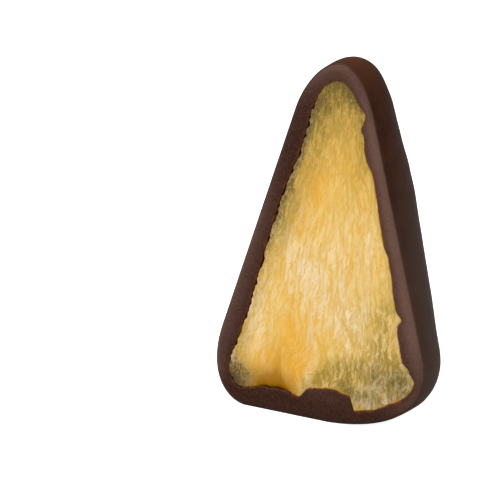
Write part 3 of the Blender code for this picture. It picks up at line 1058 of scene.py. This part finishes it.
class PINEAPPLE_PG_stage(bpy.types.PropertyGroup):
    """The floor, the lights and the camera"""

    azimuth: bpy.props.FloatProperty(
        name="Azimuth",
        description="Camera's turn round the piece from straight in front of the cut",
        default=math.radians(30.0),
        subtype="ANGLE",
    )
    elevation: bpy.props.FloatProperty(
        name="Elevation",
        description="Camera's height above the horizon",
        default=math.radians(17.5),
        subtype="ANGLE",
    )
    distance: bpy.props.FloatProperty(
        name="Distance",
        description="From the camera to the piece",
        default=0.459,
        unit="LENGTH",
    )
    lens: bpy.props.FloatProperty(
        name="Lens",
        description="Focal length of the camera in millimetres",
        default=307.0,
    )
    aside: bpy.props.FloatProperty(
        name="Aside",
        description="How far the piece stands to the right of the picture's middle",
        default=10.99 * MM,
        unit="LENGTH",
    )
    above: bpy.props.FloatProperty(
        name="Above",
        description="How far the piece stands above the picture's middle",
        default=0.95 * MM,
        unit="LENGTH",
    )
    floor_colour: bpy.props.FloatVectorProperty(
        name="Floor colour",
        description="Colour of the plain floor",
        default=(0.78, 0.78, 0.78),
        subtype="COLOR",
    )
    floor_glow: bpy.props.FloatProperty(
        name="Floor glow",
        description="Light that shines through the floor, as on a lit table",
        default=0.95,
    )
    key_power: bpy.props.FloatProperty(
        name="Key light",
        description="Power of the large soft light in front, in watts",
        default=2.15,
    )
    top_power: bpy.props.FloatProperty(
        name="Top light",
        description="Power of the soft light overhead, in watts",
        default=2.5,
    )
    surround: bpy.props.FloatProperty(
        name="Surround",
        description="Strength of the even light from all round",
        default=0.15,
    )


class Skin:
    """Closed rings of vertices that follow one another, with the masks of each."""

    def __init__(self, *mask_names):
        self.rings = []
        self.masks = {name: [] for name in mask_names}

    def add(self, ring, **masks):
        """Adds a ring; a mask that isn't given is 0 on it."""
        self.rings.append(ring)
        for name, values in self.masks.items():
            values.append(np.broadcast_to(masks.get(name, 0.0), len(ring)))

    def faces(self):
        """Quads from ring to ring, and a face that closes each end."""
        count = len(self.rings[0])
        numbers = [list(range(k * count, (k + 1) * count)) for k in range(len(self.rings))]
        faces = []
        for first, second in zip(numbers, numbers[1:]):
            faces += ring_faces(first, second)
        return faces + [numbers[0][::-1], numbers[-1]]


class PINEAPPLE_OT_coating(bpy.types.Operator):
    """Models the chocolate coating: a closed cup with a torn, matt rim round the fruit"""

    bl_idname = "pineapple.coating"
    bl_label = "Chocolate Coating"

    def execute(self, context):
        settings = context.scene.pineapple_coating
        outline = Outline()
        shares = np.arange(COATING_STEPS) / COATING_STEPS
        thickness = coating_thickness(outline, shares, settings)
        skin = Skin("cut", "film", "bloom", "far")
        for ring in outer_rings(outline, shares):
            y, z = ring[:, 1], ring[:, 2]
            # Painted light away from the cut edge and on the crest, and a painted reflection of the
            # floor low and midway on the sides
            skin.add(ring, bloom=side_painted_sheen(y, z), far=side_painted_light(y, z))
        film_strength, film_width = film_edge(outline, shares)
        for share in RIM_SHARES:
            points, depth = rim_surface(outline, shares, thickness, share, settings)
            away = (thickness - RIM_CORNER) * share
            film = film_strength * np.exp(-((away / film_width) ** 2))
            # Pale grain on the cut, with painted light, shade and a reflection towards the outer
            # edge
            bloom = rim_bloom(*points.T / MM, share)
            skin.add(ring_of(points, depth), cut=1.0, film=film, bloom=bloom)
        floor = DEPTH - BACK_WALL
        for depth in (0.35 * MM, 0.7 * MM, 1.3 * MM, floor - INNER_ROUNDING_DEPTH):
            film = film_strength * math.exp(-depth / (0.2 * MM))
            skin.add(ring_of(outline.inset(shares, thickness), depth), cut=0.6, film=film)
        for ring in inner_end(outline, shares, thickness, floor, (25.0, 45.0, 65.0, 90.0)):
            skin.add(ring)
        vertices = np.vstack(skin.rings)
        place_in_frame(vertices)
        masks = {name: np.concatenate(values) for name, values in skin.masks.items()}
        piece = new_piece("coating", vertices, skin.faces(), masks)
        piece.data.materials.append(chocolate_material(settings))
        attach(piece, "root")
        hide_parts("chocolate_coating")
        return {"FINISHED"}


def rim_surface(outline, shares, thickness, share, settings):
    """Points and depths of the cut coating: share 0 is at the fruit and 1 at its outer edge."""
    points = outline.inset(shares, thickness + (RIM_CORNER - thickness) * share)
    x, z = points.T / MM
    lumps = layered(x / 1.1, z / 1.1, seed=11) * smooth_step(1.0, 0.8, share)
    curl = 1.0 + edge_ripple(outline, shares, 0.5 * MM, seed=12)
    lip = 0.1 * MM * bell(share, 0.0, 0.06) * curl
    depth = RIM_DROP * share**6 - settings.rim_unevenness * lumps + lip
    if share == 1.0:
        depth = depth + 0.3 * RIM_CORNER
    return points, depth


def film_edge(outline, shares):
    """How strong and how wide the thin film of chocolate is that borders the fruit."""
    x, z = outline.inset(shares, 0.0).T
    right = smooth_step(2.0 * MM, 5.0 * MM, x) * smooth_step(33.0 * MM, 31.0 * MM, z)
    wide = right * smooth_step(-0.3, 0.3, edge_ripple(outline, shares, 2.6 * MM, seed=9))
    low_left = smooth_step(0.0, -4.0 * MM, x) * smooth_step(12.0 * MM, 6.0 * MM, z)
    width = (0.12 + 0.12 * wide) * MM * (1.0 - 0.5 * low_left)
    waver = edge_ripple(outline, shares, 1.1 * MM, seed=8)
    return 0.35 + 0.65 * smooth_step(-0.2, 0.5, waver), width


def side_painted_light(y, z):
    """Share of painted light on the outside: away from the cut edge, which leaves the side darker
    as painted shade beside it, and on the crest at the narrow end.
    """
    return smooth_step(0.5 * MM, 5.0 * MM, y) + 1.2 * smooth_step(37 * MM, 41 * MM, z)


def side_painted_sheen(y, z):
    """Share of greyer chocolate painted on the outside as a reflection of the floor: low down, and
    midway between front and back.
    """
    middle = 0.62 + 0.6 * bell(y, 3.6 * MM, 1.7 * MM)
    foot = 0.5 + 0.5 * smooth_step(2 * MM, 9 * MM, z)
    return 0.8 * middle * smooth_step(34 * MM, 16 * MM, z) * foot


def rim_bloom(x, z, share):
    """Share of pale grain on the cut coating, which also paints light on its right and top, shade
    low down and on its left, and a reflection towards its rounded outer edge: x and z in
    millimetres, and 1 at its outer edge.
    """
    lean = x - 0.06 * z
    low = smooth_step(4.5, 1.5, z)
    right = smooth_step(-1.0, 5.0, lean) * (1 - low) * smooth_step(42.0, 36.0, z)
    left = smooth_step(1.0, -5.0, lean) * (1 - low) * smooth_step(42.0, 36.0, z)
    top = np.clip(1.0 - low - right - left, 0.0, 1.0)
    broad = smooth_step(6.0, 14.0, z)
    bloom = right * (0.08 + 0.14 * broad + (0.5 + 0.21 * broad) * share)
    lower = smooth_step(32.0, 22.0, z)
    bloom += left * (0.05 + 0.06 * lower + (0.08 + 0.3 * lower) * share)
    return np.clip(bloom + top * (0.22 + 0.3 * share) + low * (0.02 + 0.08 * share), 0.0, 1.0)


class PINEAPPLE_OT_fruit(bpy.types.Operator):
    """Models the pineapple that fills the coating, with its fibres, furrows and glassy corners"""

    bl_idname = "pineapple.fruit"
    bl_label = "Pineapple Flesh"

    def execute(self, context):
        settings = context.scene.pineapple_fruit
        outline = Outline()
        shares = fruit_shares(outline)
        thickness = coating_thickness(outline, shares, context.scene.pineapple_coating)
        inset = thickness - FRUIT_OVERLAP
        edge = outline.inset(shares, inset)
        points = fruit_grid(edge).reshape(-1, 2)
        x, z = points.T
        away = edge_distance(points, edge)
        masks = fruit_masks(x, z, away, settings)
        front = np.column_stack([x, -fruit_height(x, z, away, masks, settings), z])
        width = FRUIT_COLUMNS + 1
        corners = [r * width + c for r in range(FRUIT_ROWS) for c in range(FRUIT_COLUMNS)]
        faces = [(a, a + 1, a + width + 1, a + width) for a in corners]
        border = list(range(FRUIT_COLUMNS))
        border += [r * width + FRUIT_COLUMNS for r in range(FRUIT_ROWS)]
        border += [FRUIT_ROWS * width + c for c in range(FRUIT_COLUMNS, 0, -1)]
        border += [r * width for r in range(FRUIT_ROWS, 0, -1)]
        back = DEPTH - BACK_WALL - FRUIT_CLEARANCE
        rings = inner_end(outline, shares, inset, back, (0.0, 25.0, 45.0, 65.0, 90.0))
        last, total, count = border, len(front), len(border)
        for _ in rings:
            ring = list(range(total, total + count))
            faces += [(a, c, d, b) for a, b, d, c in ring_faces(last, ring)]
            last = ring
            total += count
        faces.append(tuple(last))
        vertices = np.vstack([front, *rings])
        place_in_frame(vertices)
        hidden = np.zeros(len(vertices) - len(front))
        masks = {name: np.r_[values, hidden] for name, values in masks.items()}
        piece = new_piece("fruit", vertices, faces, masks)
        piece.data.materials.append(fruit_material(settings))
        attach(piece, "root")
        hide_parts("pineapple_flesh")
        return {"FINISHED"}


def fruit_masks(x, z, away, settings):
    """Where the fruit is flaky, pale, ripe, dull, glassy or drawn back, and where shade and glow
    are painted, by its place on the cut.
    """
    across, along = fibre_place(x, z)
    drift = layered(across / (1.1 * MM), along / (3.2 * MM), seed=21)
    patch = layered(x / (0.8 * MM), z / (1.1 * MM), seed=22)
    near = away + 0.3 * MM * patch
    left = smooth_step(1.5 * MM, -0.5 * MM, x - 0.07 * z)
    right = 1 - left
    high = smooth_step(15.0 * MM, 25.0 * MM, z)
    fade = np.interp(z / MM + 0.5 * patch, TOP_FADE_Z, TOP_FADE_SHARE)

    pale = held(patches(x, z, "pale") * (1.0 + 0.9 * drift))
    orange = patches(x, z, "orange") + 0.3 * smooth_step(23 * MM, 31 * MM, z)
    orange = held(orange * (1.0 + 0.8 * drift))
    fullness = 0.15 + 0.4 * pale - 0.5 * orange - 0.45 * smooth_step(20 * MM, 32 * MM, z)

    # Deep gold painted as shade beside the crease and at the foot, and as light coming through
    # along the right side
    line = crease_offset(x, z)
    turned = np.where(line < 0, np.exp(line / (1.1 * MM)), bell(line, 0.0, 0.14 * MM))
    beside = 0.8 * turned + 0.2 * bell(line, 1.1 * MM, 0.9 * MM)
    patchy = smooth_step(-0.3, 0.5, ripple(z / (1.6 * MM), x * 0.0, seed=9))
    lit = patchy * smooth_step(0.36 * MM, 0.05 * MM, away) * smooth_step(33 * MM, 30 * MM, z)
    shade_and_glow = patches(x, z, "shade_and_glow") + beside * smooth_step(9.5 * MM, 3.5 * MM, z) + right * lit

    # Glassy olive flesh at the narrow end, along the left side and in the lower corners, which also
    # paints shade beside the coating and darkens the narrow end
    olive = patches(x, z, "olive") + 0.03 + 0.75 * fade
    olive += left * high * (
        0.8 * smooth_step(1.1 * MM, 0.1 * MM, near) + 0.22 * smooth_step(5.0 * MM, 1.0 * MM, near)
    )
    olive += 0.38 * left * (1 - high) * smooth_step(3.0 * MM, 0.0, near)
    olive += (0.12 + 0.25 * fade) * right * high * smooth_step(1.2 * MM, 0.0, near)
    olive = held(olive * (1.0 + 0.35 * patch) - 0.15 * pale) * (1.0 - np.clip(shade_and_glow, 0.0, 0.9))
    olive = held(olive + patches(x, z, "olive glaze"))
    # Dull murky ground, which is also painted shade along the edges of the fruit, above the coating
    # at the foot and at the narrow end
    murky = patches(x, z, "murky") + 1.25 * fade
    murky += 0.45 * left * high * smooth_step(4.4 * MM, 0.9 * MM, near)
    murky += 0.2 * right * smooth_step(2.2 * MM, 0.0, near) * smooth_step(4 * MM, 8 * MM, z)
    murky *= 1.0 - patches(x, z, "never murky")
    glassy = patches(x, z, "glassy") + 0.9 * smooth_step(33.0 * MM, 39.0 * MM, z)
    glassy += 0.7 * left * high * smooth_step(2.6 * MM, 0.0, near)

    # Dry, greyish flesh beside the coating
    frost = 0.35 * left * smooth_step(17 * MM, 22 * MM, z) * smooth_step(38 * MM, 34 * MM, z)
    frost *= smooth_step(1.1 * MM, 0.3 * MM, near)
    frost = (frost + patches(x, z, "frost")) * (1.0 - patches(x, z, "little frost"))
    frost += 0.55 * right * bell(away, 0.3 * MM, 0.3 * MM) * bell(z, 11.5 * MM, 4.0 * MM)
    frost += patches(x, z, "frost glaze")

    # Painted shade: dark in the gaps where the fruit has drawn back, in a thin line along the
    # coating and in the lower left corner
    gap = drawn_back(x, z, away, left)
    seam = 0.45 + 0.4 * right * smooth_step(34 * MM, 30 * MM, z)
    seam = seam * smooth_step(0.16 * MM, 0.03 * MM, away)
    corner = spot(x, z, (-10.5, 2.9), (1.1, 1.5), 0.25)
    return {
        "across": across,
        "along": along,
        "flake": flake_field(across, along, fullness, settings),
        "pale": pale,
        "orange": orange,
        "shade_and_glow": held(shade_and_glow * (1.0 + 0.5 * drift)),
        "olive": olive,
        "murky": held(murky * (1.0 + 0.3 * patch)),
        "stringy": smooth_step(30.0 * MM, 14.0 * MM, z),
        "glassy": held(glassy),
        "frost": held(frost),
        "dark": held(1.2 * gap + seam + 0.75 * corner),
        "gap": gap,
    }


def drawn_back(x, z, away, left):
    """Where the fruit has drawn back from the coating, on the left side and in its corner."""
    parting = ripple(z / (2.1 * MM), x * 0.0, seed=31)
    parting = parting + 0.7 * ripple(z / (0.7 * MM), x * 0.0, seed=32)
    drawn = smooth_step(5.0 * MM, 6.5 * MM, z) * smooth_step(38.8 * MM, 37.0 * MM, z)
    drawn *= left * (0.25 + 0.75 * smooth_step(-0.3, 0.4, parting))
    drawn = np.maximum(drawn, spot(x, z, (-11.6, 5.4), (0.35, 0.35)))
    drawn = np.maximum(drawn, 0.9 * spot(x, z, (-10.9, 2.6), (0.9, 0.5)))
    width = (0.1 + 0.12 * smooth_step(-0.2, 0.6, parting)) * MM
    return smooth_step(1.5 * width, 0.5 * width, away) * drawn


def fruit_height(x, z, away, masks, settings):
    """How far the fruit's surface stands out of the plane of the cut."""
    across, along = masks["across"], masks["along"]
    height = -settings.recess + settings.swell * smooth_step(0.0, 3.0 * MM, away)
    height = height + settings.flake_height * (masks["flake"] - 0.5)
    height = height + 0.06 * MM * layered(across / (1.5 * MM), along / (4.0 * MM), seed=41)
    lumps = layered(x / (0.8 * MM), z / (0.8 * MM), seed=42)
    height = height + 0.12 * MM * masks["glassy"] * lumps
    crease = bell(crease_offset(x, z), 0.0, 0.12 * MM) * smooth_step(10.0 * MM, 7.0 * MM, z)
    valley = bell(x, -4.9 * MM, 0.9 * MM) * smooth_step(10.5 * MM, 6.5 * MM, z)
    height = height - 0.03 * MM * crease - 0.25 * MM * valley + MM * patches(x, z, "height")
    return height - settings.fissure * masks["gap"]


def place_in_frame(vertices):
    """Moves vertices from the drawing of the outline to where the solid coating stands."""
    outline = Outline()
    drawn = np.vstack(outer_rings(outline, np.arange(0.0, 1.0, 0.005)))
    low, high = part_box("chocolate_coating")
    vertices[:, 0] += (low[0] + high[0] - drawn[:, 0].min() - drawn[:, 0].max()) / 2
    vertices[:, 1] += high[1] - drawn[:, 1].max()
    vertices[:, 2] += low[2]
    for k in range(3):
        vertices[:, k] = np.clip(vertices[:, k], CAD_BOX[0][k], CAD_BOX[1][k])


class PINEAPPLE_OT_stage(bpy.types.Operator):
    """Sets the pale floor, the soft lights, the white surround and the camera"""

    bl_idname = "pineapple.stage"
    bl_label = "Stage"

    def execute(self, context):
        settings = context.scene.pineapple_stage
        scene = context.scene
        scene.view_settings.view_transform = "Standard"
        middle = Vector([(a + b) / 2 for a, b in zip(*CAD_BOX)])
        floor_data = bpy.data.meshes.new("floor")
        reach = FLOOR_REACH
        corners = [(-reach, -reach, 0), (reach, -reach, 0), (reach, reach, 0), (-reach, reach, 0)]
        floor_data.from_pydata(corners, [], [(0, 1, 2, 3)])
        floor = bpy.data.objects.new("floor", floor_data)
        scene.collection.objects.link(floor)
        n = Nodes("floor")
        seen = n.add("ShaderNodeLightPath").outputs["Is Camera Ray"]
        n.set(Base_Color=opaque(settings.floor_colour), Roughness=0.9, Specular_IOR_Level=0.1)
        n.set(Emission_Color=WHITE, Emission_Strength=n.times(seen, settings.floor_glow))
        floor_data.materials.append(n.material)
        add_light("key_light", KEY_LIGHT_PLACE, middle, KEY_LIGHT_SIZE, settings.key_power)
        add_light("top_light", TOP_LIGHT_PLACE, middle, TOP_LIGHT_SIZE, settings.top_power)
        add_surround(scene, settings.surround)
        add_camera(scene, settings, middle)
        return {"FINISHED"}


def aim(obj, target):
    obj.rotation_euler = (Vector(target) - obj.location).to_track_quat("-Z", "Y").to_euler()


def add_light(name, place, target, size, power):
    """A square soft light that faces the piece."""
    data = bpy.data.lights.new(name, "AREA")
    data.shape = "SQUARE"
    data.size = size
    data.energy = power
    light = bpy.data.objects.new(name, data)
    light.location = place
    aim(light, target)
    bpy.context.scene.collection.objects.link(light)


def add_surround(scene, strength):
    """An even white surround, which the camera sees as pure white."""
    world = bpy.data.worlds.new("surround")
    scene.world = world
    world.use_nodes = True
    tree = world.node_tree
    shader = tree.nodes["Background"]
    shader.inputs["Color"].default_value = WHITE
    path = tree.nodes.new("ShaderNodeLightPath")
    brightness = tree.nodes.new("ShaderNodeMix")
    tree.links.new(path.outputs["Is Camera Ray"], brightness.inputs[0])
    brightness.inputs[2].default_value = strength
    brightness.inputs[3].default_value = 1.0
    tree.links.new(brightness.outputs[0], shader.inputs["Strength"])


def add_camera(scene, settings, middle):
    data = bpy.data.cameras.new("camera")
    data.sensor_width = 36.0
    data.lens = settings.lens
    data.clip_start = 0.01
    camera = bpy.data.objects.new("camera", data)
    turn, lift = settings.azimuth, settings.elevation
    level = math.cos(lift)
    back = Vector((math.sin(turn) * level, -math.cos(turn) * level, math.sin(lift)))
    right = Vector((math.cos(turn), math.sin(turn), 0.0))
    camera.location = middle + back * settings.distance
    aim(camera, middle - right * settings.aside - Vector((0.0, 0.0, settings.above)))
    scene.collection.objects.link(camera)
    scene.camera = camera


class PINEAPPLE_PT_panel(bpy.types.Panel):
    """Lists the pieces and their settings"""

    bl_label = "Chocolate Covered Pineapple"
    bl_idname = "PINEAPPLE_PT_panel"
    bl_space_type = "VIEW_3D"
    bl_region_type = "UI"
    bl_category = "Pineapple"

    def draw(self, context):
        for operator, group in SECTIONS:
            box = self.layout.box()
            box.operator(operator.bl_idname)
            settings = getattr(context.scene, group)
            for key in settings.bl_rna.properties.keys():
                if key not in {"rna_type", "name"}:
                    box.prop(settings, key)


SECTIONS = (
    (PINEAPPLE_OT_coating, "pineapple_coating"),
    (PINEAPPLE_OT_fruit, "pineapple_fruit"),
    (PINEAPPLE_OT_stage, "pineapple_stage"),
)
GROUPS = (PINEAPPLE_PG_coating, PINEAPPLE_PG_fruit, PINEAPPLE_PG_stage)


def register():
    for group, (operator, name) in zip(GROUPS, SECTIONS):
        bpy.utils.register_class(group)
        bpy.utils.register_class(operator)
        setattr(bpy.types.Scene, name, bpy.props.PointerProperty(type=group))
    bpy.utils.register_class(PINEAPPLE_PT_panel)


def unregister():
    bpy.utils.unregister_class(PINEAPPLE_PT_panel)
    for group, (operator, name) in zip(GROUPS, SECTIONS):
        delattr(bpy.types.Scene, name)
        bpy.utils.unregister_class(operator)
        bpy.utils.unregister_class(group)


def main():
    register()
    bpy.ops.pineapple.stage()
    bpy.ops.pineapple.coating()
    bpy.ops.pineapple.fruit()


if __name__ == "__main__":
    main()
